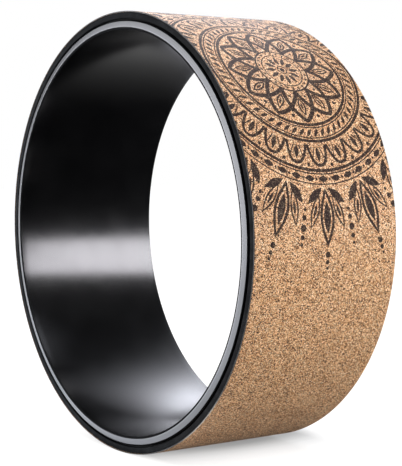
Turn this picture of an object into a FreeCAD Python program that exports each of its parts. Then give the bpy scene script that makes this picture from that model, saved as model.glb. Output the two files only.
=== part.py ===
import FreeCAD, Part
import math
import os

# Yoga wheel: a stiff plastic hoop wrapped in a foam strip and then in a thin cork sheet.
# Millimetres. The origin is the wheel's centre, its axis of turning lies along Y and Z points up.
# Every layer is named by its own thickness, so a change to one carries all the layers outside it.

# Hoop. Each rim has a shallow bevel at the bore, a narrow flat land to lie on, and a face that
# falls away from the land towards a bevelled outer edge.
bore_diameter = 303.0
hoop_wall = 6.8
hoop_width = 129.4
bore_bevel_reach = 1.2
bore_bevel_drop = 0.4
rim_land = 1.0
rim_face_fall = 0.9
rim_edge_bevel = 0.9

# Bonds: a mounting tape under the foam and a thin film under the cork. Each is laid between two
# curved faces with a hair's breadth of room on both sides, so that neighbours never bite into each
# other. The tape stops short of the foam's edges, which leaves an open slot round each rim.
tape_thickness = 1.2
tape_setback = 3.0
film_thickness = 0.1
film_setback = 1.5
bond_clearance = 0.15

# Foam strip, narrower than the hoop so that its cut ends never reach past the rim
foam_thickness = 4.1
foam_setback = 1.2

# Cork sheet, as wide as the foam
cork_thickness = 0.7
cork_bevel = 0.4

# Butt seams, where the two ends of a wrapped layer meet, measured from +X towards +Z
seam_gap = 0.3
foam_seam_degrees = 219.0
cork_seam_degrees = 226.0

# Radii of the faces between the layers, from the inside out
bore_radius = bore_diameter / 2
hoop_radius = bore_radius + hoop_wall
tape_inner_radius = hoop_radius + bond_clearance
tape_outer_radius = tape_inner_radius + tape_thickness
foam_inner_radius = tape_outer_radius + bond_clearance
foam_outer_radius = foam_inner_radius + foam_thickness
film_inner_radius = foam_outer_radius + bond_clearance
film_outer_radius = film_inner_radius + film_thickness
cork_inner_radius = film_outer_radius + bond_clearance
cork_outer_radius = cork_inner_radius + cork_thickness

# Widths of the layers along the axis
strip_width = hoop_width - 2 * foam_setback
tape_width = strip_width - 2 * tape_setback
film_width = strip_width - 2 * film_setback

CENTRE = FreeCAD.Vector(0, 0, 0)
AXIS = FreeCAD.Vector(0, 1, 0)
FULL_TURN = 360.0


def point(radius, along):
    """A point of a section, which is drawn in the plane that holds the axis and +X."""
    return FreeCAD.Vector(radius, along, 0)


def line(start, end):
    return Part.LineSegment(start, end).toShape()


def polygon_section(corners):
    """A section with straight sides through its corners, taken in order."""
    edges = []
    for number, corner in enumerate(corners):
        edges.append(line(corner, corners[(number + 1) % len(corners)]))
    return Part.Face(Part.Wire(edges))


def swept_round(section, start_degrees, turn_degrees):
    """The section turned about the axis from a start angle, which is measured from +X towards +Z."""
    start = section.copy()
    # A turn about +Y carries +X towards -Z
    start.rotate(CENTRE, AXIS, -start_degrees)
    return start.revolve(CENTRE, AXIS, turn_degrees)


def wrapped_strip(section, outer_radius, seam_degrees):
    """A strip wrapped once round the axis, whose ends stop a seam's gap apart."""
    gap_degrees = math.degrees(seam_gap / outer_radius)
    return swept_round(section, seam_degrees - gap_degrees / 2, FULL_TURN - gap_degrees)


def plain_section(inner_radius, outer_radius, width):
    half = width / 2
    return polygon_section(
        [
            point(inner_radius, -half),
            point(outer_radius, -half),
            point(outer_radius, half),
            point(inner_radius, half),
        ]
    )


def rim_edges(side):
    """The hoop's section at one rim, from the bore wall to the outer wall. Side is -1 or 1."""
    rim = side * hoop_width / 2
    bore_end = point(bore_radius, rim - side * bore_bevel_drop)
    land_start = point(bore_radius + bore_bevel_reach, rim)
    land_end = point(bore_radius + bore_bevel_reach + rim_land, rim)
    fallen = rim - side * rim_face_fall
    face_end = point(hoop_radius - rim_edge_bevel, fallen)
    wall_start = point(hoop_radius, fallen - side * rim_edge_bevel)
    edges = [
        line(bore_end, land_start),
        line(land_start, land_end),
        line(land_end, face_end),
        line(face_end, wall_start),
    ]
    return bore_end, edges, wall_start


def hoop():
    """The moulded ring that carries the load, with both rims shaped for the hand. Its joint line
    lies under the foam's seam."""
    near_bore, near_edges, near_wall = rim_edges(-1)
    far_bore, far_edges, far_wall = rim_edges(1)
    walls = [line(near_bore, far_bore), line(near_wall, far_wall)]
    outline = Part.Wire(Part.__sortEdges__(near_edges + far_edges + walls))
    return swept_round(Part.Face(outline), foam_seam_degrees, FULL_TURN)


def hoop_adhesive():
    """The mounting tape on the foam's back, cut and wrapped with it."""
    section = plain_section(tape_inner_radius, tape_outer_radius, tape_width)
    return wrapped_strip(section, tape_outer_radius, foam_seam_degrees)


def foam_layer():
    """The cushioning strip, cut square and butted end to end."""
    section = plain_section(foam_inner_radius, foam_outer_radius, strip_width)
    return wrapped_strip(section, foam_outer_radius, foam_seam_degrees)


def cork_adhesive():
    """The film on the cork's back, cut and wrapped with it."""
    section = plain_section(film_inner_radius, film_outer_radius, film_width)
    return wrapped_strip(section, film_outer_radius, cork_seam_degrees)


def cork_cover():
    """The cork sheet, with its cut edges bevelled so that they don't catch and crumble."""
    half = strip_width / 2
    section = polygon_section(
        [
            point(cork_inner_radius, -half),
            point(cork_outer_radius - cork_bevel, -half),
            point(cork_outer_radius, cork_bevel - half),
            point(cork_outer_radius, half - cork_bevel),
            point(cork_outer_radius - cork_bevel, half),
            point(cork_inner_radius, half),
        ]
    )
    return wrapped_strip(section, cork_outer_radius, cork_seam_degrees)


PIECES = {
    "hoop": hoop,
    "hoop_adhesive": hoop_adhesive,
    "foam_layer": foam_layer,
    "cork_adhesive": cork_adhesive,
    "cork_cover": cork_cover,
}

os.makedirs("parts", exist_ok=True)
for name, make in PIECES.items():
    shape = make()
    shape.exportStep(f"parts/{name}.step")
    print(name, "volume", round(shape.Volume), "valid", shape.isValid(), shape.ShapeType)
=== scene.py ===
import math

import bmesh
import bpy
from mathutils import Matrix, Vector, noise


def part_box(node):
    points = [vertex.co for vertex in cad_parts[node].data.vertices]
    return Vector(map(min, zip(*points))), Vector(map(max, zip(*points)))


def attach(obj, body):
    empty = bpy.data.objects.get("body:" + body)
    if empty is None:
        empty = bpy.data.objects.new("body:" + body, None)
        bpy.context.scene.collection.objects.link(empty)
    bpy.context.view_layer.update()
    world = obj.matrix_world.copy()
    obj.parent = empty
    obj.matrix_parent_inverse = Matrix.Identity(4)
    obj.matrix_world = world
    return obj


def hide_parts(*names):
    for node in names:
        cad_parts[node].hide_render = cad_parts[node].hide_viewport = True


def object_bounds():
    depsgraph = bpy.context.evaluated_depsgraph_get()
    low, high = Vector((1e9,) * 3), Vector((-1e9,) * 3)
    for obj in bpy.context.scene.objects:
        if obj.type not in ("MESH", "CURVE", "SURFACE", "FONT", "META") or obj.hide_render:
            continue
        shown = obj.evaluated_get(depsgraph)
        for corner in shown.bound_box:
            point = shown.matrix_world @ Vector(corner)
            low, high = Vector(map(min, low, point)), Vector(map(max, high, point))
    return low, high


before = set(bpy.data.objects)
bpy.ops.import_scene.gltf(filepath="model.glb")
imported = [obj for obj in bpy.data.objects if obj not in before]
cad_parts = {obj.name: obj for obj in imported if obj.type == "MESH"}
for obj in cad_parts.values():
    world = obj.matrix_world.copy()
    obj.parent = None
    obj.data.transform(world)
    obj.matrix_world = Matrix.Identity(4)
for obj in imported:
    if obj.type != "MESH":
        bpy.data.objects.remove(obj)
cad_low, cad_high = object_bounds()

# Lengths below are millimetres in the frame of the solids, and become metres where a mesh is made.
MM = 0.001
FULL_TURN = 360.0

# Photograph's frame, and the camera that was fitted to the rims in it
IMAGE_WIDTH = 402
IMAGE_HEIGHT = 466
SENSOR_WIDTH = 36.0
FOCAL_PIXELS = 1378.6
CAMERA_DISTANCE = 1069.0
CAMERA_AZIMUTH = 54.268
CAMERA_ELEVATION = 3.514
CAMERA_RIGHT = 9.954
CAMERA_UP = -1.906
CAMERA_CLIP_METRES = 100.0

# Hoop's rim, as the solid has it, with the small rounds that a mould leaves on its corners
BORE_BEVEL_REACH = 1.2
BORE_BEVEL_DROP = 0.4
RIM_LAND = 1.0
RIM_FACE_FALL = 0.9
RIM_EDGE_BEVEL = 0.9
MOULD_ROUND = 0.2
# The knife that cut the bore's bevel also dulled this much of the land beside it
DULL_LAND = 0.5

# Foam's cut edge and cork's bevelled edge
FOAM_EDGE_ROUND = 0.3
CORK_BEVEL = 0.4
CORK_EDGE_ROUND = 0.08
SEAM_GAP = 0.3
FOAM_SEAM_DEGREES = 219.0
CORK_SEAM_DEGREES = 226.0

# Cork's printed side stands this far under the solid's radius, which leaves room for the ink
CORK_SINK = 0.08
INK_LIFT = 0.05


# Sizes read from the frame
def radial_range(node):
    """The least and the greatest distance of a node's points from the wheel's axis."""
    radii = [math.hypot(vertex.co.x, vertex.co.z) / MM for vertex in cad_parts[node].data.vertices]
    return min(radii), max(radii)


def half_width(node):
    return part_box(node)[1].y / MM


BORE_RADIUS, HOOP_RADIUS = radial_range("hoop")
FOAM_INNER, FOAM_OUTER = radial_range("foam_layer")
CORK_INNER, CORK_OUTER = radial_range("cork_cover")
HOOP_HALF = half_width("hoop")
FOAM_HALF = half_width("foam_layer")
CORK_HALF = half_width("cork_cover")
CORK_FACE = CORK_OUTER - CORK_SINK
FLOOR = cad_low.z / MM


# Outlines
def corner_arc(before, corner, after, size, steps):
    """Points of the arc that turns a corner of an outline with a round of the given size."""
    into = (Vector(before) - Vector(corner)).normalized()
    out = (Vector(after) - Vector(corner)).normalized()
    half = into.angle(out) / 2
    reach = size / math.tan(half)
    start = Vector(corner) + into * reach
    end = Vector(corner) + out * reach
    centre = Vector(corner) + (into + out).normalized() * (size / math.sin(half))
    first = start - centre
    last = end - centre
    points = []
    for step in range(steps + 1):
        share = step / steps
        arm = first.lerp(last, share).normalized() * size
        points.append(tuple(centre + arm))
    return points


def rounded_outline(corners, steps):
    """A closed outline of (radius, along) points through corners of (radius, along, round)."""
    points = []
    for number, (radius, along, size) in enumerate(corners):
        before = corners[number - 1][:2]
        after = corners[(number + 1) % len(corners)][:2]
        points.extend(corner_arc(before, (radius, along), after, size, steps))
    return points


def divided(outline, longest):
    """The outline with its long stretches cut into equal parts no longer than the given length."""
    points = []
    for number, here in enumerate(outline):
        there = outline[(number + 1) % len(outline)]
        length = math.dist(here, there)
        parts = max(1, math.ceil(length / longest))
        for part in range(parts):
            share = part / parts
            points.append((here[0] + (there[0] - here[0]) * share, here[1] + (there[1] - here[1]) * share))
    return points


def cut_at_radius(outline, radius):
    """The outline with a point added wherever it crosses a radius."""
    points = []
    for number, here in enumerate(outline):
        there = outline[(number + 1) % len(outline)]
        points.append(here)
        if (here[0] - radius) * (there[0] - radius) < 0:
            share = (radius - here[0]) / (there[0] - here[0])
            points.append((radius, here[1] + (there[1] - here[1]) * share))
    return points


def both_rims(near_corners):
    """A section's corners from those of its near rim, which run from the inside out."""
    far_corners = [(radius, -along, size) for radius, along, size in reversed(near_corners)]
    return near_corners + far_corners


# Meshes
def make_object(name, mesh, material):
    made = bpy.data.objects.new(name, mesh)
    bpy.context.scene.collection.objects.link(made)
    mesh.materials.append(material)
    return made


def swept_mesh(name, outline, segments, start_degrees, turn_degrees, shape):
    """A ring swept round the axis from an outline. Shape moves each (angle, radius, along) point."""
    closed = turn_degrees >= FULL_TURN
    stations = segments if closed else segments + 1
    count = len(outline)
    points = []
    for station in range(stations):
        angle = math.radians(start_degrees + turn_degrees * station / segments)
        for radius, along in outline:
            moved_radius, moved_along = shape(angle, radius, along)
            points.append(
                (
                    moved_radius * math.cos(angle) * MM,
                    moved_along * MM,
                    moved_radius * math.sin(angle) * MM,
                )
            )
    faces = []
    for station in range(segments):
        here = station * count
        there = (station + 1) % stations * count
        for number in range(count):
            following = (number + 1) % count
            faces.append((here + number, there + number, there + following, here + following))
    if not closed:
        last = segments * count
        faces.append(tuple(range(count)))
        faces.append(tuple(reversed(range(last, last + count))))
    mesh = bpy.data.meshes.new(name)
    mesh.from_pydata(points, [], faces)
    working = bmesh.new()
    working.from_mesh(mesh)
    bmesh.ops.recalc_face_normals(working, faces=working.faces)
    working.to_mesh(mesh)
    working.free()
    mesh.shade_smooth()
    return mesh


def ripple(angle, along, wavelength, seed):
    """Smooth noise from -1 to 1 over the wheel, with bumps about a wavelength long."""
    scale = CORK_OUTER / wavelength
    place = Vector((math.cos(angle) * scale, along / wavelength, math.sin(angle) * scale))
    return noise.noise(place + Vector((seed, seed, seed)))


# Node helpers. A mix node's colour sockets are known by number, because its sockets share their names.
MIX_FACTOR = 0
MIX_FIRST_COLOUR = 6
MIX_SECOND_COLOUR = 7
MIX_RESULT_COLOUR = 2
NOISE_DETAIL = 2.0
FINE_NOISE_DETAIL = 3.0


def put(tree, kind, inputs, **settings):
    """Adds a node, with its settings and its inputs, which are values or sockets to link."""
    made = tree.nodes.new(kind)
    for key, value in settings.items():
        setattr(made, key, value)
    for key, value in inputs.items():
        if isinstance(value, bpy.types.NodeSocket):
            tree.links.new(value, made.inputs[key])
        else:
            made.inputs[key].default_value = value
    return made


def calculate(tree, operation, first, second=0.0):
    return put(tree, "ShaderNodeMath", {0: first, 1: second}, operation=operation).outputs[0]


def blend_colours(tree, factor, first, second, blend_type="MIX"):
    inputs = {MIX_FACTOR: factor, MIX_FIRST_COLOUR: first, MIX_SECOND_COLOUR: second}
    mix = put(tree, "ShaderNodeMix", inputs, data_type="RGBA", blend_type=blend_type)
    return mix.outputs[MIX_RESULT_COLOUR]


def ramp(tree, factor, stops):
    """A colour ramp through stops of (place, colour)."""
    made = put(tree, "ShaderNodeValToRGB", {"Fac": factor})
    elements = made.color_ramp.elements
    for number, (place, colour) in enumerate(stops):
        element = elements[number] if number < len(elements) else elements.new(place)
        element.position = place
        element.color = (*colour, 1.0)
    return made.outputs["Color"]


def grey_ramp(tree, factor, stops):
    return ramp(tree, factor, [(place, (value, value, value)) for place, value in stops])


def smooth_noise(tree, place, size, detail=NOISE_DETAIL):
    """Noise with features of about the given size in millimetres."""
    inputs = {"Vector": place, "Scale": 1.0 / (size * MM), "Detail": detail}
    return put(tree, "ShaderNodeTexNoise", inputs).outputs["Fac"]


def cells(tree, place, size, feature="F1"):
    """Cells of about the given size in millimetres."""
    inputs = {"Vector": place, "Scale": 1.0 / (size * MM)}
    return put(tree, "ShaderNodeTexVoronoi", inputs, feature=feature)


def combine(tree, operation, first, second):
    """A sum, difference or product of two vectors."""
    return put(tree, "ShaderNodeVectorMath", {0: first, 1: second}, operation=operation).outputs[0]


def length_of(tree, vector):
    return put(tree, "ShaderNodeVectorMath", {0: vector}, operation="LENGTH").outputs["Value"]


def part_of(tree, vector, axis):
    return put(tree, "ShaderNodeSeparateXYZ", {0: vector}).outputs[axis]


def channel_of(tree, colour, channel):
    return put(tree, "ShaderNodeSeparateColor", {0: colour}).outputs[channel]


def grade(tree, value, start, end, low=0.0, high=1.0):
    """Runs from low to high while the value runs between two places in millimetres."""
    inputs = {"Value": value, "From Min": start * MM, "From Max": end * MM, "To Min": low, "To Max": high}
    return put(tree, "ShaderNodeMapRange", inputs).outputs["Result"]


def object_place(tree):
    return put(tree, "ShaderNodeTexCoord", {}).outputs["Object"]


def start_material(name):
    material = bpy.data.materials.new(name)
    material.use_nodes = True
    tree = material.node_tree
    return material, tree, tree.nodes["Principled BSDF"], object_place(tree)


def set_colour(tree, shader, colour):
    tree.links.new(colour, shader.inputs["Base Color"])


def set_roughness(tree, shader, roughness):
    tree.links.new(roughness, shader.inputs["Roughness"])


def set_specular(shader, level):
    shader.inputs["Specular IOR Level"].default_value = level


def add_bump(tree, shader, height, depth, strength):
    """Bump of a depth in millimetres."""
    inputs = {"Height": height, "Distance": depth * MM, "Strength": strength}
    tree.links.new(put(tree, "ShaderNodeBump", inputs).outputs["Normal"], shader.inputs["Normal"])


# Materials. Shades and roughness are stops of (factor, colour) and (factor, roughness).
CORK_SHADES = [
    (0.00, (0.012, 0.004, 0.002)),
    (0.26, (0.045, 0.016, 0.006)),
    (0.37, (0.380, 0.174, 0.070)),
    (0.55, (0.620, 0.322, 0.145)),
    (0.72, (0.790, 0.450, 0.224)),
    (0.88, (1.000, 0.705, 0.435)),
    (1.00, (1.000, 0.830, 0.590)),
]
CORK_SEAM_SHADES = [(0.0, 0.72), (0.09, 1.0)]
CORK_ROUGHNESS = [(0.0, 0.74), (1.0, 0.58)]
# Painted shade: the cork's cut edge is near black, for the gap between the foam and the cork.
SHADED_CUT_EDGE_SHADES = [(0.3, (0.014, 0.009, 0.006)), (0.7, (0.026, 0.017, 0.012))]
SHADED_CUT_EDGE_ROUGHNESS = [(0.3, 0.26), (0.7, 0.36)]
INK_COLOUR = (0.022, 0.011, 0.009)
INK_WEAR_SHARES = [(0.70, 0.0), (1.0, 0.20)]
INK_ROUGHNESS = [(0.0, 0.80), (1.0, 0.60)]
FOAM_SHADES = [
    (0.0, (0.0015, 0.0018, 0.0021)),
    (0.8, (0.0030, 0.0035, 0.0041)),
    (1.0, (0.0120, 0.0131, 0.0143)),
]
FOAM_ROUGHNESS = [(0.3, 0.70), (0.7, 0.88)]
PLASTIC_SHADES = [(0.2, (0.0030, 0.0030, 0.0034)), (0.8, (0.0055, 0.0055, 0.0060))]
PLASTIC_ROUGHNESS = [(0.25, 0.165), (0.75, 0.205)]
# The rims' lighter grey is painted sheen, which stands in for part of their reflection.
RIM_PAINTED_SHEEN_COLOUR = (0.050, 0.050, 0.056)
RIM_ROUGHNESS = (0.38, 0.38, 0.38)
BEVEL_SHADES = [(0.3, (0.0020, 0.0020, 0.0022)), (0.7, (0.0045, 0.0045, 0.0048))]
BEVEL_ROUGHNESS = [(0.3, 0.55), (0.7, 0.75)]
FILM_SHADES = [(0.3, (0.006, 0.006, 0.006)), (0.7, (0.014, 0.013, 0.012))]
FILM_ROUGHNESS = [(0.3, 0.85), (0.7, 0.95)]


def cork_grain(tree, place):
    """The colour of pressed cork granules, their shade from dark to pale, and their height."""
    granule_size = 1.3
    chip_size = 0.54
    cloud_size = 14.0
    granule_share = 0.10
    chip_share = 0.90
    cloud_share = 0.10
    # The granules' outlines wobble. The scale is in waves to a metre.
    wobble_scale = 1100.0
    wobble_reach = 0.45
    noise_middle = 0.5
    inputs = {"Vector": place, "Scale": wobble_scale, "Detail": NOISE_DETAIL}
    wobble = put(tree, "ShaderNodeTexNoise", inputs).outputs["Color"]
    shift = combine(tree, "SUBTRACT", wobble, [noise_middle] * 3)
    bent = combine(tree, "ADD", place, combine(tree, "MULTIPLY", shift, [wobble_reach * MM] * 3))
    granules = cells(tree, bent, granule_size)
    chips = cells(tree, bent, chip_size)
    granule_tone = channel_of(tree, granules.outputs["Color"], "Red")
    chip_tone = channel_of(tree, chips.outputs["Color"], "Green")
    granule_shade = calculate(tree, "MULTIPLY", granule_tone, granule_share)
    chip_shade = calculate(tree, "MULTIPLY", chip_tone, chip_share)
    cloud = calculate(tree, "SUBTRACT", smooth_noise(tree, place, cloud_size), noise_middle)
    cloud_shade = calculate(tree, "MULTIPLY", cloud, cloud_share)
    shade = calculate(tree, "ADD", calculate(tree, "ADD", granule_shade, chip_shade), cloud_shade)
    seams = cells(tree, bent, granule_size, feature="DISTANCE_TO_EDGE").outputs["Distance"]
    dark_seams = grey_ramp(tree, seams, CORK_SEAM_SHADES)
    colour = blend_colours(tree, 1.0, ramp(tree, shade, CORK_SHADES), dark_seams, "MULTIPLY")
    return colour, shade, granules.outputs["Distance"]


def cork_material():
    specular = 0.30
    bump_depth = 0.25
    bump_strength = 0.35
    material, tree, shader, place = start_material("pressed_cork")
    colour, shade, height = cork_grain(tree, place)
    set_colour(tree, shader, colour)
    set_roughness(tree, shader, grey_ramp(tree, shade, CORK_ROUGHNESS))
    set_specular(shader, specular)
    add_bump(tree, shader, height, bump_depth, bump_strength)
    return material


def shaded_cut_edge_material():
    """Cork's cut edge, painted near black as shade in the gap between the foam and the cork."""
    edge_noise_size = 1.2
    bump_depth = 0.02
    bump_strength = 0.2
    material, tree, shader, place = start_material("painted_shade_cork_edge")
    edge_noise = smooth_noise(tree, place, edge_noise_size, FINE_NOISE_DETAIL)
    set_colour(tree, shader, ramp(tree, edge_noise, SHADED_CUT_EDGE_SHADES))
    set_roughness(tree, shader, grey_ramp(tree, edge_noise, SHADED_CUT_EDGE_ROUGHNESS))
    add_bump(tree, shader, edge_noise, bump_depth, bump_strength)
    return material


def ink_material():
    """Printed ink, through which the palest granules of the cork show a little."""
    specular = 0.12
    bump_depth = 0.2
    bump_strength = 0.3
    material, tree, shader, place = start_material("printed_ink")
    grain, shade, height = cork_grain(tree, place)
    worn = grey_ramp(tree, shade, INK_WEAR_SHARES)
    set_colour(tree, shader, blend_colours(tree, worn, (*INK_COLOUR, 1.0), grain))
    set_roughness(tree, shader, grey_ramp(tree, shade, INK_ROUGHNESS))
    set_specular(shader, specular)
    add_bump(tree, shader, height, bump_depth, bump_strength)
    return material


def foam_material():
    pore_size = 0.55
    cloud_size = 9.0
    specular = 0.04
    bump_depth = 0.15
    bump_strength = 0.5
    material, tree, shader, place = start_material("closed_cell_foam")
    pores = cells(tree, place, pore_size)
    set_colour(tree, shader, ramp(tree, channel_of(tree, pores.outputs["Color"], "Red"), FOAM_SHADES))
    set_roughness(tree, shader, grey_ramp(tree, smooth_noise(tree, place, cloud_size), FOAM_ROUGHNESS))
    set_specular(shader, specular)
    add_bump(tree, shader, pores.outputs["Distance"], bump_depth, bump_strength)
    return material


def rim_share(tree, place):
    """1 on the hoop's rims past the bevel at the bore, and 0 on its walls."""
    across = calculate(tree, "ABSOLUTE", part_of(tree, place, "Y"))
    near_rim = calculate(tree, "GREATER_THAN", across, (HOOP_HALF - RIM_FACE_FALL) * MM)
    from_axis = length_of(tree, combine(tree, "MULTIPLY", place, (1.0, 0.0, 1.0)))
    past_bevel = calculate(tree, "GREATER_THAN", from_axis, (BORE_RADIUS + BORE_BEVEL_REACH) * MM)
    return calculate(tree, "MULTIPLY", near_rim, past_bevel)


def plastic_material():
    """Black satin plastic. The rims are duller than the wall, and lighter grey as a painted sheen."""
    cloud_size = 22.0
    skin_size = 0.9
    bump_depth = 0.02
    bump_strength = 0.12
    material, tree, shader, place = start_material("satin_black_plastic")
    cloud = smooth_noise(tree, place, cloud_size, FINE_NOISE_DETAIL)
    rim = rim_share(tree, place)
    set_colour(tree, shader, blend_colours(tree, rim, ramp(tree, cloud, PLASTIC_SHADES), (*RIM_PAINTED_SHEEN_COLOUR, 1.0)))
    wall_roughness = grey_ramp(tree, cloud, PLASTIC_ROUGHNESS)
    set_roughness(tree, shader, blend_colours(tree, rim, wall_roughness, (*RIM_ROUGHNESS, 1.0)))
    add_bump(tree, shader, smooth_noise(tree, place, skin_size), bump_depth, bump_strength)
    return material


def bevel_material():
    """The same plastic where a knife left it dull, on the bevels of the rims."""
    scrape_size = 1.5
    specular = 0.01
    bump_depth = 0.02
    bump_strength = 0.2
    material, tree, shader, place = start_material("dull_black_plastic")
    scrape = smooth_noise(tree, place, scrape_size, FINE_NOISE_DETAIL)
    set_colour(tree, shader, ramp(tree, scrape, BEVEL_SHADES))
    set_roughness(tree, shader, grey_ramp(tree, scrape, BEVEL_ROUGHNESS))
    set_specular(shader, specular)
    add_bump(tree, shader, scrape, bump_depth, bump_strength)
    return material


def film_material():
    """The mounting tape and the film under the cork."""
    cloud_size = 4.0
    specular = 0.1
    material, tree, shader, place = start_material("dried_adhesive")
    cloud = smooth_noise(tree, place, cloud_size, FINE_NOISE_DETAIL)
    set_colour(tree, shader, ramp(tree, cloud, FILM_SHADES))
    set_roughness(tree, shader, grey_ramp(tree, cloud, FILM_ROUGHNESS))
    set_specular(shader, specular)
    return material


# Pieces
def second_finish(mesh, material, applies):
    """Gives a second material to the faces whose middle, by radius and distance along, it applies to."""
    mesh.materials.append(material)
    for face in mesh.polygons:
        radius = math.hypot(face.center.x, face.center.z) / MM
        along = abs(face.center.y) / MM
        if applies(radius, along):
            face.material_index = 1


def hoop_piece():
    """The hoop, whose wall sways a little and whose bevels are dull."""
    round_steps = 8
    longest_stretch = 6.0
    segments = 720
    sway_depth = 0.02
    sway_wave = 45.0
    sway_seed = 3.0
    land_start = BORE_RADIUS + BORE_BEVEL_REACH
    fallen = -HOOP_HALF + RIM_FACE_FALL
    corners = both_rims(
        [
            (BORE_RADIUS, -HOOP_HALF + BORE_BEVEL_DROP, MOULD_ROUND),
            (land_start, -HOOP_HALF, MOULD_ROUND),
            (land_start + RIM_LAND, -HOOP_HALF, MOULD_ROUND),
            (HOOP_RADIUS - RIM_EDGE_BEVEL, fallen, MOULD_ROUND),
            (HOOP_RADIUS, fallen + RIM_EDGE_BEVEL, MOULD_ROUND),
        ]
    )
    dull_end = land_start + DULL_LAND
    outline = cut_at_radius(divided(rounded_outline(corners, round_steps), longest_stretch), dull_end)

    def shape(angle, radius, along):
        on_wall = abs(along) < FOAM_HALF - SEAM_GAP
        return radius + on_wall * sway_depth * ripple(angle, along, sway_wave, sway_seed), along

    bore_bevel = HOOP_HALF - BORE_BEVEL_DROP - MOULD_ROUND
    edge_bevel = HOOP_HALF - RIM_FACE_FALL - RIM_EDGE_BEVEL - MOULD_ROUND

    def on_bevel(radius, along):
        on_bore_bevel = radius < dull_end and along > bore_bevel
        on_edge_bevel = radius > HOOP_RADIUS - RIM_EDGE_BEVEL and along > edge_bevel
        return on_bore_bevel or on_edge_bevel

    mesh = swept_mesh("hoop_shell", outline, segments, 0.0, FULL_TURN, shape)
    piece = make_object("hoop_shell", mesh, plastic_material())
    second_finish(mesh, bevel_material(), on_bevel)
    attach(piece, "root")
    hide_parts("hoop")


def wrapped_turn(outer_radius, seam_degrees):
    """The start and the turn of a wrapped strip, whose ends stop a seam's gap apart."""
    gap = math.degrees(SEAM_GAP / outer_radius)
    return seam_degrees + gap / 2, FULL_TURN - gap


def foam_piece():
    """The foam strip, whose cut edges waver a little."""
    round_steps = 5
    longest_stretch = 4.0
    segments = 720
    cut_depth = 0.12
    cut_wave = 26.0
    near_seed = 11.0
    far_seed = 17.0
    edge_band = 1.0
    corners = both_rims(
        [
            (FOAM_INNER, -FOAM_HALF, FOAM_EDGE_ROUND),
            (FOAM_OUTER, -FOAM_HALF, FOAM_EDGE_ROUND),
        ]
    )
    outline = divided(rounded_outline(corners, round_steps), longest_stretch)

    def shape(angle, radius, along):
        if abs(along) <= CORK_HALF - edge_band:
            return radius, along
        seed = near_seed if along < 0 else far_seed
        cut = cut_depth + cut_depth * ripple(angle, 0.0, cut_wave, seed)
        return radius, along - math.copysign(cut, along)

    start, turn = wrapped_turn(FOAM_OUTER, FOAM_SEAM_DEGREES)
    mesh = swept_mesh("foam_strip", outline, segments, start, turn, shape)
    piece = make_object("foam_strip", mesh, foam_material())
    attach(piece, "root")
    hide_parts("foam_layer")


def cork_piece(material):
    """The cork sheet, with a faint relief of granules and crumbled edges."""
    round_steps = 3
    longest_stretch = 2.0
    segments = 1080
    grain_depth = 0.02
    grain_wave = 1.4
    grain_seed = 5.0
    crumble_depth = 0.06
    crumble_wave = 2.2
    crumble_seed = 23.0
    corners = both_rims(
        [
            (CORK_INNER, -CORK_HALF, CORK_EDGE_ROUND),
            (CORK_FACE - CORK_BEVEL, -CORK_HALF, CORK_EDGE_ROUND),
            (CORK_FACE, -CORK_HALF + CORK_BEVEL, CORK_EDGE_ROUND),
        ]
    )
    outline = divided(rounded_outline(corners, round_steps), longest_stretch)

    def shape(angle, radius, along):
        if radius < CORK_INNER + CORK_EDGE_ROUND:
            return radius, along
        grain = grain_depth * ripple(angle, along, grain_wave, grain_seed)
        crumble = crumble_depth * abs(ripple(angle, along, crumble_wave, crumble_seed))
        on_edge = abs(along) > CORK_HALF - CORK_BEVEL
        return radius + grain, along - math.copysign(crumble, along) * on_edge

    edge_start = CORK_HALF - CORK_BEVEL - CORK_EDGE_ROUND / 2
    start, turn = wrapped_turn(CORK_OUTER, CORK_SEAM_DEGREES)
    mesh = swept_mesh("cork_sheet", outline, segments, start, turn, shape)
    piece = make_object("cork_sheet", mesh, material)
    second_finish(mesh, shaded_cut_edge_material(), lambda radius, along: along > edge_start)
    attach(piece, "root")
    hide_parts("cork_cover")


# Print. It is drawn flat, with x along the wheel's axis and y up round the wheel, and then bent onto the
# cork. Every shape is a strip, which is two lines of points with a row of faces between them.
PRINT_DEGREES = 46.0
FINE_LINE = 0.9
MIDDLE_LINE = 1.4
BOLD_LINE = 2.2
HEAVY_LINE = 3.3
STRIP_STEP = 2.5
LEAST_HALF = 0.03
LAYER_LIFT = 0.002


def spoke(radius, degrees):
    """The point of the print at a radius from its centre, at an angle from straight up."""
    turn = math.radians(degrees)
    return Vector((radius * math.sin(turn), radius * math.cos(turn)))


def spread(count, start_degrees=0.0):
    """Angles of a motif that is repeated evenly round the print."""
    return [start_degrees + FULL_TURN * number / count for number in range(count)]


def leaf(base, tip, half):
    """A pointed leaf from base to tip, widest in the middle."""
    least_steps = 8
    along = tip - base
    across = Vector((-along.y, along.x)).normalized()
    steps = max(least_steps, math.ceil(along.length / STRIP_STEP))
    left = []
    right = []
    for step in range(steps + 1):
        share = step / steps
        side = across * max(half * math.sin(math.pi * share), LEAST_HALF)
        middle = base + along * share
        left.append(middle + side)
        right.append(middle - side)
    return left, right


def leaf_border(base, tip, half, line, tip_line):
    """The border of a leaf, with a line as thick as given at its sides and at its tips."""
    along = (tip - base).normalized()
    outer_left, outer_right = leaf(base, tip, half)
    inner_left, inner_right = leaf(base + along * tip_line, tip - along * tip_line, half - line)
    steps = min(len(outer_left), len(inner_left)) - 1
    borders = []
    for outer, inner in ((outer_left, inner_left), (inner_right, outer_right)):
        outside = [outer[round(step * (len(outer) - 1) / steps)] for step in range(steps + 1)]
        inside = [inner[round(step * (len(inner) - 1) / steps)] for step in range(steps + 1)]
        borders.append((outside, inside))
    return borders


def bead(centre, radius):
    """A round dot."""
    steps = 12
    left = []
    right = []
    for step in range(steps + 1):
        angle = math.pi * step / steps
        side = max(radius * math.sin(angle), LEAST_HALF)
        rise = -radius * math.cos(angle)
        left.append(centre + Vector((-side, rise)))
        right.append(centre + Vector((side, rise)))
    return left, right


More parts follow.
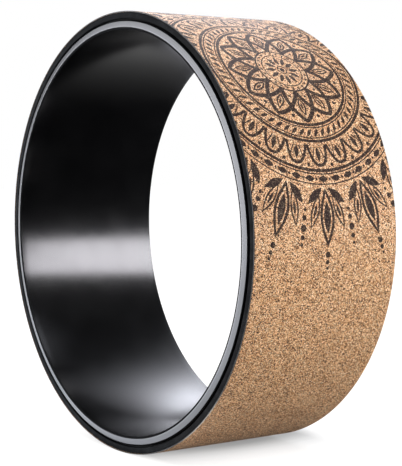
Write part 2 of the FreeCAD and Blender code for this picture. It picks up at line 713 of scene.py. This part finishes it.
def stroke(points, line):
    """A line of the given thickness through points."""
    left = []
    right = []
    for number, point in enumerate(points):
        before = points[max(number - 1, 0)]
        after = points[min(number + 1, len(points) - 1)]
        along = (after - before).normalized()
        across = Vector((-along.y, along.x)) * (line / 2)
        left.append(point + across)
        right.append(point - across)
    return left, right


def ring(radius, line):
    """A circle round the print's centre, drawn with a line of the given thickness."""
    least_steps = 48
    steps = max(least_steps, math.ceil(2 * math.pi * radius / STRIP_STEP))
    angles = [FULL_TURN * step / steps for step in range(steps + 1)]
    outer = [spoke(radius + line / 2, angle) for angle in angles]
    inner = [spoke(radius - line / 2, angle) for angle in angles]
    return outer, inner


def arch(start, end, degrees, half_degrees, power, line):
    """An arch that springs from radius start and peaks at radius end. A power of 1 makes it pointed
    with straight sides, and a greater one makes it fuller."""
    least_half_steps = 6
    steps = 2 * max(least_half_steps, math.ceil((end - start) / STRIP_STEP))
    points = []
    for step in range(steps + 1):
        share = 2 * step / steps - 1
        rise = 1 - abs(share) ** power
        points.append(spoke(start + (end - start) * rise, degrees + half_degrees * share))
    return stroke(points, line)


def rosette():
    """Twelve slim petals round a dot, inside a ring of beads."""
    count = 12
    dot = 2.0
    dot_ring = 3.7
    petal_base = 5.2
    petal_tip = 14.2
    petal_half = 1.6
    bead_ring = 18.3
    bead_radius = 0.95
    ring_gap = 2.4
    strips = [bead(spoke(0.0, 0.0), dot), ring(dot_ring, FINE_LINE)]
    strips += [leaf(spoke(petal_base, angle), spoke(petal_tip, angle), petal_half) for angle in spread(count)]
    strips += [bead(spoke(bead_ring, angle), bead_radius) for angle in spread(2 * count)]
    strips += [ring(bead_ring - ring_gap, FINE_LINE), ring(bead_ring + ring_gap, MIDDLE_LINE)]
    return strips


def lattice_arches(parity):
    """Every other one of the arches that cross each other round the rosette."""
    count = 12
    foot = 21.4
    peak = 46.0
    power = 1.25
    half_degrees = FULL_TURN / count
    angles = spread(count)[parity::2]
    return [arch(foot, peak, angle, half_degrees, power, HEAVY_LINE) for angle in angles]


def lattice_filling():
    """A leaf in each cell of the lattice, and beads between the cells."""
    count = 12
    leaf_base = 26.5
    leaf_tip = 42.0
    leaf_half = 3.1
    low_bead = 26.2
    low_bead_radius = 1.1
    high_beads = ((39.4, 0.9), (43.2, 1.4))
    vein_inset = 3 * MIDDLE_LINE
    strips = []
    for angle in spread(count):
        base = spoke(leaf_base, angle)
        tip = spoke(leaf_tip, angle)
        strips += leaf_border(base, tip, leaf_half, MIDDLE_LINE, BOLD_LINE)
        vein_base = spoke(leaf_base + vein_inset, angle)
        vein_tip = spoke(leaf_tip - vein_inset, angle)
        strips.append(leaf(vein_base, vein_tip, FINE_LINE))
    for angle in spread(count, FULL_TURN / count / 2):
        strips.append(bead(spoke(low_bead, angle), low_bead_radius))
        strips += [bead(spoke(radius, angle), size) for radius, size in high_beads]
    return strips


def rope_band():
    """A twisted rope between two pairs of rings."""
    count = 56
    inner = 52.4
    outer = 58.6
    lean_degrees = 5.0
    strand_half = 1.35
    ring_step = 2.3
    strips = []
    for angle in spread(count):
        strips.append(leaf(spoke(inner, angle), spoke(outer, angle + lean_degrees), strand_half))
    for side, edge in ((-1, inner), (1, outer)):
        strips.append(ring(edge + side * FINE_LINE, FINE_LINE))
        strips.append(ring(edge + side * (FINE_LINE + ring_step), BOLD_LINE))
    return strips


def scallop_band():
    """Round scallops with a leaf and two ribs in each, and a bead between each two."""
    count = 24
    foot = 64.6
    peak = 79.5
    power = 2.6
    reach_share = 0.94
    leaf_base = 66.0
    leaf_tip = 77.0
    leaf_half = 1.9
    rib_base = 66.5
    rib_tip = 74.0
    rib_degrees = 4.0
    bead_radius = 1.4
    half_degrees = FULL_TURN / count / 2
    strips = []
    for angle in spread(count):
        strips.append(arch(foot, peak, angle, half_degrees * reach_share, power, BOLD_LINE))
        strips.append(leaf(spoke(leaf_base, angle), spoke(leaf_tip, angle), leaf_half))
        for side in (-1, 1):
            rib_foot = spoke(rib_base, angle + side * rib_degrees / 2)
            rib_end = spoke(rib_tip, angle + side * rib_degrees)
            strips.append(stroke([rib_foot, rib_end], FINE_LINE))
        strips.append(bead(spoke(peak, angle + half_degrees), bead_radius))
    return strips


def lozenge_band():
    """Dark lozenges laid end to end with beads between them, inside rings."""
    count = 48
    radius = 89.2
    half_length_degrees = 2.7
    lozenge_half = 2.2
    bead_radius = 0.9
    inner_rings = ((83.2, BOLD_LINE), (85.6, FINE_LINE))
    outer_rings = ((92.8, FINE_LINE),)
    strips = [ring(place, line) for place, line in inner_rings + outer_rings]
    for angle in spread(count):
        start = spoke(radius, angle - half_length_degrees)
        end = spoke(radius, angle + half_length_degrees)
        strips.append(leaf(start, end, lozenge_half))
    strips += [bead(spoke(radius, angle), bead_radius) for angle in spread(count, FULL_TURN / count / 2)]
    return strips


def palmette_fringe():
    """Five-leaved palmettes that hang round the outside, each with a fall of beads."""
    count = 18
    base = 95.0
    middle_tip = 136.0
    middle_half = 6.4
    heart_base = 104.0
    heart_tip = 127.0
    heart_half = 3.1
    low_tip = 107.0
    low_half = 3.0
    low_degrees = 8.8
    foot_degrees = 1.6
    falls = ((140.8, 2.1), (146.0, 1.6), (150.2, 1.1))
    between = ((111.5, 1.2), (117.0, 1.8), (124.0, 2.4), (130.4, 1.7), (135.4, 1.2))
    tip_line = 2 * BOLD_LINE
    strips = []
    for angle in spread(count):
        strips += leaf_border(spoke(base, angle), spoke(middle_tip, angle), middle_half, BOLD_LINE, tip_line)
        strips.append(leaf(spoke(heart_base, angle), spoke(heart_tip, angle), heart_half))
        for side in (-1, 1):
            foot = spoke(base, angle + side * foot_degrees)
            strips.append(leaf(foot, spoke(low_tip, angle + side * low_degrees), low_half))
        strips += [bead(spoke(radius, angle), size) for radius, size in falls]
    for angle in spread(count, FULL_TURN / count / 2):
        strips += [bead(spoke(radius, angle), size) for radius, size in between]
    return strips


def palmette_side_leaves():
    """The two bordered leaves at the sides of each palmette."""
    count = 18
    base = 99.0
    tip = 124.0
    half = 3.6
    foot_degrees = 3.2
    tip_degrees = 7.0
    heart_share = 0.3
    heart_half = 1.2
    strips = []
    for angle in spread(count):
        for side in (-1, 1):
            foot = spoke(base, angle + side * foot_degrees)
            end = spoke(tip, angle + side * tip_degrees)
            strips += leaf_border(foot, end, half, MIDDLE_LINE, BOLD_LINE)
            strips.append(leaf(foot.lerp(end, heart_share), end.lerp(foot, heart_share), heart_half))
    return strips


def bent_onto_cork(point, layer):
    """A point of the flat print on the cork's curved face, in metres."""
    radius = CORK_FACE + INK_LIFT + layer * LAYER_LIFT
    angle = math.radians(PRINT_DEGREES) + point.y / CORK_FACE
    return Vector((radius * math.cos(angle), point.x, radius * math.sin(angle))) * MM


def add_strip(working, layer, left, right):
    """Adds a strip of the flat print to a mesh in the making, bent onto the cork."""
    rows = []
    for one, other in zip(left, right):
        first = working.verts.new(bent_onto_cork(one, layer))
        second = working.verts.new(bent_onto_cork(other, layer))
        rows.append((first, second))
    for (one, other), (next_one, next_other) in zip(rows, rows[1:]):
        working.faces.new((one, other, next_other, next_one))


def trim_print(working):
    """Cuts off what lies past the start of the cork's bevels."""
    trim = (CORK_HALF - CORK_BEVEL) * MM
    for side in (-1, 1):
        everything = working.verts[:] + working.edges[:] + working.faces[:]
        place = Vector((0.0, side * trim, 0.0))
        outward = (0, side, 0)
        bmesh.ops.bisect_plane(working, geom=everything, plane_co=place, plane_no=outward, clear_outer=True)


def turn_outward(working):
    """Turns every face to look away from the wheel's axis."""
    for face in working.faces:
        middle = face.calc_center_median()
        if face.normal.dot(Vector((middle.x, 0.0, middle.z))) < 0:
            face.normal_flip()


def print_piece(material):
    """All layers of the print as one piece, trimmed where the sheet was cut."""
    layers = [
        rosette() + rope_band() + scallop_band() + lozenge_band() + palmette_fringe(),
        lattice_arches(0) + palmette_side_leaves(),
        lattice_arches(1),
        lattice_filling(),
    ]
    working = bmesh.new()
    for layer, strips in enumerate(layers):
        for left, right in strips:
            add_strip(working, layer, left, right)
    trim_print(working)
    turn_outward(working)
    mesh = bpy.data.meshes.new("print_ink")
    working.to_mesh(mesh)
    working.free()
    mesh.shade_smooth()
    piece = make_object("print_ink", mesh, material)
    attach(piece, "root")


# Bonds, which keep the shape of their solids
def dress_films():
    material = film_material()
    for node in ("hoop_adhesive", "cork_adhesive"):
        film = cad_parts[node]
        film.data.materials.clear()
        film.data.materials.append(material)


# Stage. Azimuth 0 lies along -Y and 90 along +X, and elevation is above the horizon.
WHITE = (1.0, 1.0, 1.0)
BLACK = (0.0, 0.0, 0.0)
KEY_TINT = (0.96, 0.945, 1.0)
PANEL_TINT = (0.92, 0.94, 1.0)
GLOW_TINT = (0.89, 0.91, 1.0)
CARD_TINT = (0.88, 0.92, 1.0)
WARM_TINT = (1.0, 0.93, 0.84)

# Panels that face the wheel's centre. One for shine makes only reflections, and one for light makes none.
SOFTBOXES = [
    {
        "name": "key_panel", "purpose": "shine", "strength": 17.2, "tint": KEY_TINT,
        "azimuth": 129.8, "elevation": 14.7, "distance": 1100.0, "width": 413.0, "height": 350.0,
    },
    {
        "name": "key_softbox", "purpose": "light", "strength": 11.2, "tint": WHITE,
        "azimuth": 118.0, "elevation": 3.0, "distance": 1300.0, "width": 900.0, "height": 440.0,
    },
    {
        "name": "fill_softbox", "purpose": "both", "strength": 2.9, "tint": WHITE,
        "azimuth": 99.0, "elevation": 46.0, "distance": 1300.0, "width": 800.0, "height": 700.0,
    },
    {
        "name": "rim_panel", "purpose": "shine", "strength": 10.2, "tint": PANEL_TINT,
        "azimuth": -35.0, "elevation": 9.5, "distance": 1100.0, "width": 1110.0, "height": 720.0,
    },
    {
        "name": "low_rim_panel", "purpose": "shine", "strength": 17.3, "tint": PANEL_TINT,
        "azimuth": -35.0, "elevation": -2.0, "distance": 1050.0, "width": 1060.0, "height": 210.0,
    },
    {
        "name": "left_rim_panel", "purpose": "shine", "strength": 1.3, "tint": PANEL_TINT,
        "azimuth": -80.0, "elevation": 0.0, "distance": 1100.0, "width": 350.0, "height": 330.0,
    },
    {
        "name": "front_softbox", "purpose": "light", "strength": 3.0, "tint": WHITE,
        "azimuth": -20.0, "elevation": 25.0, "distance": 1300.0, "width": 1000.0, "height": 800.0,
    },
    {
        "name": "top_softbox", "purpose": "both", "strength": 2.4, "tint": WHITE,
        "azimuth": 0.0, "elevation": 90.0, "distance": 1500.0, "width": 1200.0, "height": 1200.0,
    },
]

# Upright glows behind the wheel, which show in the hoop's wall. Each is strongest at its middle along X,
# and it fades above its high level and below its low one.
GLOWS = [
    {
        "name": "back_glow", "left": -460.0, "right": -20.0, "along": 200.0, "bottom": -55.0, "top": 400.0,
        "strength": 9.8, "middle": -185.0, "side_fade": 70.0,
        "high": 60.0, "high_fade": 72.0, "low": 25.0, "low_fade": 25.0,
    },
    {
        "name": "high_panel", "left": -330.0, "right": 150.0, "along": 90.0, "bottom": 178.0, "top": 620.0,
        "strength": 8.8, "middle": -90.0, "side_fade": 3000.0,
        "high": 900.0, "high_fade": 100.0, "low": 205.0, "low_fade": 30.0,
    },
]

# Cards that lie just over the floor and show only as reflections. Corners are places along X and Y, and
# start and end are each a place along the axis with the strength there.
REFLECTOR_RISE = 3.0
FLAG_RISE = 2.0
REFLECTORS = [
    {
        "name": "front_reflector", "rise": REFLECTOR_RISE, "tint": CARD_TINT,
        "corners": [(-160.0, -66.0), (60.0, -66.0), (60.0, -480.0), (-160.0, -480.0)],
        "axis": "Y", "start": (-66.0, 3.3), "end": (-380.0, 10.0),
    },
    {
        "name": "left_reflector", "rise": REFLECTOR_RISE, "tint": CARD_TINT,
        "corners": [(-1000.0, -66.0), (-160.0, -66.0), (-160.0, -140.0), (-1000.0, -350.0)],
        "axis": "X", "start": (-160.0, 2.2), "end": (-700.0, 1.6),
    },
    {
        "name": "far_left_reflector", "rise": REFLECTOR_RISE, "tint": CARD_TINT,
        "corners": [(-1000.0, -350.0), (-160.0, -140.0), (-160.0, -480.0), (-1000.0, -900.0)],
        "axis": "X", "start": (-160.0, 11.5), "end": (-1000.0, 11.5),
    },
    {
        "name": "edge_reflector", "rise": REFLECTOR_RISE, "tint": WARM_TINT,
        "corners": [(75.0, -66.0), (130.0, -66.0), (130.0, -98.0), (75.0, -98.0)],
        "axis": "X", "start": (75.0, 9.0), "end": (130.0, 9.0),
    },
    {
        "name": "left_floor_flag", "rise": FLAG_RISE, "tint": WHITE,
        "corners": [(-420.0, 60.0), (-75.0, 60.0), (-75.0, 330.0), (-420.0, 330.0)],
        "axis": "X", "start": (-75.0, 0.0), "end": (-285.0, 0.56),
    },
]

# Black cards just over the floor, which keep the shiny inside of the hoop dark
FLOOR_FLAGS = [
    {"name": "wide_floor_flag", "left": 60.0, "right": 1500.0, "front": 125.0, "back": 2000.0},
    {"name": "near_floor_flag", "left": 60.0, "right": 135.0, "front": 100.0, "back": 125.0},
    {"name": "middle_floor_flag", "left": -75.0, "right": 60.0, "front": 60.0, "back": 2000.0},
    {"name": "right_floor_flag", "left": 61.0, "right": 1500.0, "front": -1500.0, "back": -72.0},
    {"name": "far_floor_flag", "left": -2000.0, "right": -75.0, "front": 331.0, "back": 2000.0},
]

# Black screens that stand on the floor outside the view, with a card between each two azimuths
SCREENS = [
    {"name": "back_flag", "azimuths": [100.0, 145.0, 195.0, 232.0], "distance": 1600.0, "height": 3200.0},
    {"name": "front_flag", "azimuths": [-21.0, 17.0, 66.0, 115.0], "distance": 1400.0, "height": 1400.0},
    {"name": "left_flag", "azimuths": [-130.0, -98.0, -66.0], "distance": 1400.0, "height": 1400.0},
]

# Floor. It is white where it is seen, but for a painted shadow under the wheel. The shades go by distance
# from a point on the wheel's axis, at the shadow's middle along Y. Distances along Y count only as a share.
FLOOR_REACH = 6000.0
FLOOR_PAINT = (0.29, 0.29, 0.29)
FLOOR_GLOSS_SHARE = 0.4
SHADOW_MIDDLE = 35.0
SHADOW_LENGTH_SHARE = 0.4
SHADOW_SHADES = [
    (165.0, 0.20),
    (168.4, 0.32),
    (170.7, 0.54),
    (173.0, 0.67),
    (176.0, 0.78),
    (182.0, 0.89),
    (200.0, 0.96),
    (600.0, 1.00),
]
# The painted shadow fades away between these places along Y, in front of the wheel and behind it
FRONT_FADE = (-53.0, -67.0)
BACK_FADE = (88.0, 116.0)

# World's light where the world isn't seen directly
SKY_LIGHT = (0.20, 0.20, 0.21)


def direction(azimuth, elevation):
    turn = math.radians(azimuth)
    rise = math.radians(elevation)
    return Vector((math.sin(turn) * math.cos(rise), -math.cos(turn) * math.cos(rise), math.sin(rise)))


def card(name, corners, material):
    """A flat four-sided card of the stage, through corners in millimetres."""
    mesh = bpy.data.meshes.new(name)
    mesh.from_pydata([Vector(corner) * MM for corner in corners], [], [tuple(range(len(corners)))])
    made = make_object(name, mesh, material)
    return made


def limit_rays(made, purpose):
    """Hides a card from the camera, and from the rays that its purpose leaves out."""
    made.visible_camera = False
    made.visible_shadow = False
    made.visible_diffuse = purpose != "shine"
    made.visible_transmission = purpose != "shine"
    made.visible_glossy = purpose != "light"


def emission_material(name, tint, strength):
    material = bpy.data.materials.new(name)
    material.use_nodes = True
    tree = material.node_tree
    tree.nodes.clear()
    glow = put(tree, "ShaderNodeEmission", {"Color": (*tint, 1.0), "Strength": strength})
    output = put(tree, "ShaderNodeOutputMaterial", {})
    tree.links.new(glow.outputs[0], output.inputs["Surface"])
    return material


def set_strength(material, strength):
    tree = material.node_tree
    tree.links.new(strength, tree.nodes["Emission"].inputs["Strength"])


def graded_material(name, tint, axis, start, end):
    """A glow that changes along an axis, between a start and an end of (place, strength)."""
    material = emission_material(name, tint, 1.0)
    tree = material.node_tree
    along = part_of(tree, object_place(tree), axis)
    set_strength(material, grade(tree, along, start[0], end[0], start[1], end[1]))
    return material


def glow_material(name, strength, middle, side_fade, high, high_fade, low, low_fade):
    """A soft glow that fades to both sides of its middle, above its high level and below its low one."""
    material = emission_material(name, GLOW_TINT, strength)
    tree = material.node_tree
    place = object_place(tree)
    along = part_of(tree, place, "X")
    level = part_of(tree, place, "Z")
    aside = calculate(tree, "DIVIDE", calculate(tree, "SUBTRACT", along, middle * MM), side_fade * MM)
    above = calculate(tree, "DIVIDE", calculate(tree, "SUBTRACT", level, high * MM), high_fade * MM)
    below = calculate(tree, "DIVIDE", calculate(tree, "SUBTRACT", low * MM, level), low_fade * MM)
    outside = calculate(tree, "MAXIMUM", calculate(tree, "MAXIMUM", above, below), 0.0)
    drop = calculate(tree, "ADD", calculate(tree, "MULTIPLY", aside, aside), outside)
    fade = calculate(tree, "EXPONENT", calculate(tree, "MULTIPLY", drop, -1.0))
    set_strength(material, calculate(tree, "MULTIPLY", fade, strength))
    return material


def softbox(name, purpose, azimuth, elevation, distance, width, height, strength, tint):
    """A glowing panel that faces the wheel's centre."""
    overhead_limit = 0.01
    outward = direction(azimuth, elevation)
    sideways = -outward.cross(Vector((0, 0, 1)))
    if sideways.length < overhead_limit:
        sideways = Vector((1, 0, 0))
    sideways.normalize()
    upward = outward.cross(sideways)
    middle = outward * distance
    across = sideways * (width / 2)
    rise = upward * (height / 2)
    corners = [middle - across - rise, middle + across - rise, middle + across + rise, middle - across + rise]
    limit_rays(card(name, corners, emission_material(name, tint, strength)), purpose)


def glow_card(name, left, right, along, bottom, top, **glow):
    corners = [(left, along, bottom), (right, along, bottom), (right, along, top), (left, along, top)]
    limit_rays(card(name, corners, glow_material(name, **glow)), "shine")


def floor_card(name, corners, rise, material):
    level = FLOOR + rise
    limit_rays(card(name, [(x, y, level) for x, y in corners], material), "shine")


def reflector(name, corners, rise, tint, axis, start, end):
    floor_card(name, corners, rise, graded_material(name, tint, axis, start, end))


def floor_flag(material, name, left, right, front, back):
    corners = [(left, front), (right, front), (right, back), (left, back)]
    floor_card(name, corners, FLAG_RISE, material)


def screen(material, name, azimuths, distance, height):
    """Upright cards side by side, at one distance from the wheel."""
    bottom = Vector((0.0, 0.0, FLOOR))
    top = Vector((0.0, 0.0, height))
    for number, (first, second) in enumerate(zip(azimuths, azimuths[1:])):
        near = direction(first, 0.0) * distance
        far = direction(second, 0.0) * distance
        corners = [near + bottom, far + bottom, far + top, near + top]
        limit_rays(card(f"{name}_{number}", corners, material), "shine")


def build_lights():
    for values in SOFTBOXES:
        softbox(**values)
    for values in GLOWS:
        glow_card(**values)
    for values in REFLECTORS:
        reflector(**values)


def build_flags():
    black = emission_material("black_flag", BLACK, 0.0)
    for values in FLOOR_FLAGS:
        floor_flag(black, **values)
    for values in SCREENS:
        screen(black, **values)


def seen_directly(tree, glossy_share):
    """1 for camera and transmission rays, which show a surface itself, and a share for glossy rays."""
    path = put(tree, "ShaderNodeLightPath", {})
    shown = calculate(tree, "MAXIMUM", path.outputs["Is Camera Ray"], path.outputs["Is Transmission Ray"])
    shiny = calculate(tree, "MULTIPLY", path.outputs["Is Glossy Ray"], glossy_share)
    return calculate(tree, "MAXIMUM", shown, shiny)


def floor_brightness(tree):
    """How bright the floor is where it is seen: white, but for the painted shadow."""
    place = object_place(tree)
    shifted = combine(tree, "SUBTRACT", place, (0.0, SHADOW_MIDDLE * MM, 0.0))
    away = length_of(tree, combine(tree, "MULTIPLY", shifted, (1.0, SHADOW_LENGTH_SHARE, 1.0)))
    shadow = grey_ramp(tree, away, [(distance * MM, shade) for distance, shade in SHADOW_SHADES])
    along = part_of(tree, place, "Y")
    past = calculate(tree, "MAXIMUM", grade(tree, along, *FRONT_FADE), grade(tree, along, *BACK_FADE))
    return blend_colours(tree, past, shadow, (*WHITE, 1.0))


def build_floor():
    material = emission_material("white_floor", WHITE, 1.0)
    tree = material.node_tree
    lift = calculate(tree, "MULTIPLY", seen_directly(tree, FLOOR_GLOSS_SHARE), floor_brightness(tree))
    set_strength(material, lift)
    paint = put(tree, "ShaderNodeBsdfDiffuse", {"Color": (*FLOOR_PAINT, 1.0)})
    both = put(tree, "ShaderNodeAddShader", {0: paint.outputs[0], 1: tree.nodes["Emission"].outputs[0]})
    tree.links.new(both.outputs[0], tree.nodes["Material Output"].inputs["Surface"])
    sides = ((-1, -1), (1, -1), (1, 1), (-1, 1))
    card("floor", [(x * FLOOR_REACH, y * FLOOR_REACH, FLOOR) for x, y in sides], material)


def build_world():
    world = bpy.data.worlds.new("studio")
    bpy.context.scene.world = world
    world.use_nodes = True
    tree = world.node_tree
    tree.nodes.clear()
    shade = blend_colours(tree, seen_directly(tree, 1.0), (*SKY_LIGHT, 1.0), (*WHITE, 1.0))
    sky = put(tree, "ShaderNodeBackground", {"Color": shade, "Strength": 1.0})
    output = put(tree, "ShaderNodeOutputWorld", {})
    tree.links.new(sky.outputs[0], output.inputs["Surface"])


def build_camera():
    back = direction(CAMERA_AZIMUTH, CAMERA_ELEVATION)
    turn = math.radians(CAMERA_AZIMUTH)
    sideways = Vector((math.cos(turn), math.sin(turn), 0.0))
    upward = back.cross(sideways)
    data = bpy.data.cameras.new("camera")
    data.sensor_width = SENSOR_WIDTH
    data.lens = FOCAL_PIXELS * SENSOR_WIDTH / max(IMAGE_WIDTH, IMAGE_HEIGHT)
    data.clip_end = CAMERA_CLIP_METRES
    camera = bpy.data.objects.new("camera", data)
    bpy.context.scene.collection.objects.link(camera)
    camera.location = (back * CAMERA_DISTANCE + sideways * CAMERA_RIGHT + upward * CAMERA_UP) * MM
    camera.rotation_mode = "QUATERNION"
    camera.rotation_quaternion = (-back).to_track_quat("-Z", "Y")
    bpy.context.scene.camera = camera


hoop_piece()
foam_piece()
cork_piece(cork_material())
print_piece(ink_material())
dress_films()
build_lights()
build_flags()
build_floor()
build_world()
build_camera()
bpy.context.scene.view_settings.view_transform = "Standard"
